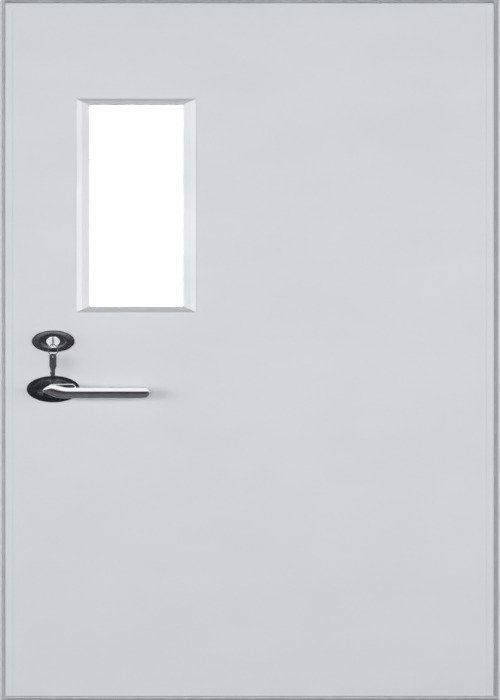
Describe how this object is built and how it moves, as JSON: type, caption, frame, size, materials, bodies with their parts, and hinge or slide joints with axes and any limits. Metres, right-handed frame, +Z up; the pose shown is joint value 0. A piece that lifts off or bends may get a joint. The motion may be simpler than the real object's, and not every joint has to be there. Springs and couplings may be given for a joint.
{
  "type": "glazed steel door set",
  "caption": "Flush steel door in a sheet-steel frame, with a narrow vision panel, a lever lock and a cylinder with keys.",
  "frame": {"origin": "on the threshold's flat underside, below the middle of the leaf's depth and of the opening's width", "axes": "+Z up along the door, +X from the lock side to the hinge side, +Y from the key side to the hinge knuckles"},
  "size_m": [1.521, 0.172, 2.079],
  "materials": {
    "light_grey_paint": "satin powder coat",
    "insulation": "matt pressed board",
    "glass": "clear",
    "black_rubber": "matt",
    "dark_nickel": "polished dark plating",
    "polished_steel": "polished",
    "bright_nickel": "satin plating",
    "key_steel": "brushed",
    "plain_steel": "zinc plated",
    "hinge_steel": "satin powder coat"
  },
  "bodies": {
    "root": {"jamb_lock": "light_grey_paint", "jamb_hinge": "light_grey_paint", "head": "light_grey_paint", "threshold": "plain_steel", "seal": "black_rubber", "strike_plate": "plain_steel", "hinge_frame_1": "hinge_steel", "hinge_frame_2": "hinge_steel", "hinge_frame_3": "hinge_steel"},
    "leaf": {"stile_lock": "light_grey_paint", "stile_hinge": "light_grey_paint", "rail_top": "light_grey_paint", "rail_bottom": "light_grey_paint", "front_sheet": "light_grey_paint", "back_sheet": "light_grey_paint", "core_lock_side": "insulation", "core_hinge_side": "insulation", "core_above_window": "insulation", "core_below_window": "insulation", "bead_front_bottom": "light_grey_paint", "bead_front_right": "light_grey_paint", "bead_front_top": "light_grey_paint", "bead_front_left": "light_grey_paint", "bead_back_bottom": "light_grey_paint", "bead_back_right": "light_grey_paint", "bead_back_top": "light_grey_paint", "bead_back_left": "light_grey_paint", "pane_front": "glass", "pane_back": "glass", "spacer": "plain_steel", "gasket": "black_rubber", "lock_case": "plain_steel", "forend": "plain_steel", "lock_bolts": "plain_steel", "lock_cylinder": "bright_nickel", "rose_front": "dark_nickel", "rose_back": "dark_nickel", "escutcheon_front": "dark_nickel", "escutcheon_back": "dark_nickel", "hinge_leaf_1": "hinge_steel", "hinge_leaf_2": "hinge_steel", "hinge_leaf_3": "hinge_steel"},
    "lever_set": {"lever_front": "polished_steel", "lever_back": "polished_steel", "spindle": "plain_steel"},
    "key_set": {"cylinder_plug": "bright_nickel", "key": "key_steel"},
    "spare_key_set": {"key_ring": "key_steel", "spare_key": "key_steel"}
  },
  "joints": [
    {"name": "leaf_swing", "type": "hinge", "parent": "root", "child": "leaf", "pos_m": [0.736, 0.0335, 1.03], "axis": [0, 0, -1], "range_deg": [0, 110]},
    {"name": "lever_turn", "type": "hinge", "parent": "leaf", "child": "lever_set", "pos_m": [-0.5635, 0, 0.916], "axis": [0, 1, 0], "range_deg": [0, 40], "stiffness_Nm_per_rad": 10, "springref_deg": -34.38},
    {"name": "key_turn", "type": "hinge", "parent": "leaf", "child": "key_set", "pos_m": [-0.5635, -0.0445, 1.053], "axis": [0, 1, 0], "range_deg": [-90, 90]},
    {"name": "spare_key_swing", "type": "hinge", "parent": "key_set", "child": "spare_key_set", "pos_m": [-0.5635, -0.0665, 1.047], "axis": [-1, 0, 0], "range_deg": [-8, 70]}
  ]
}
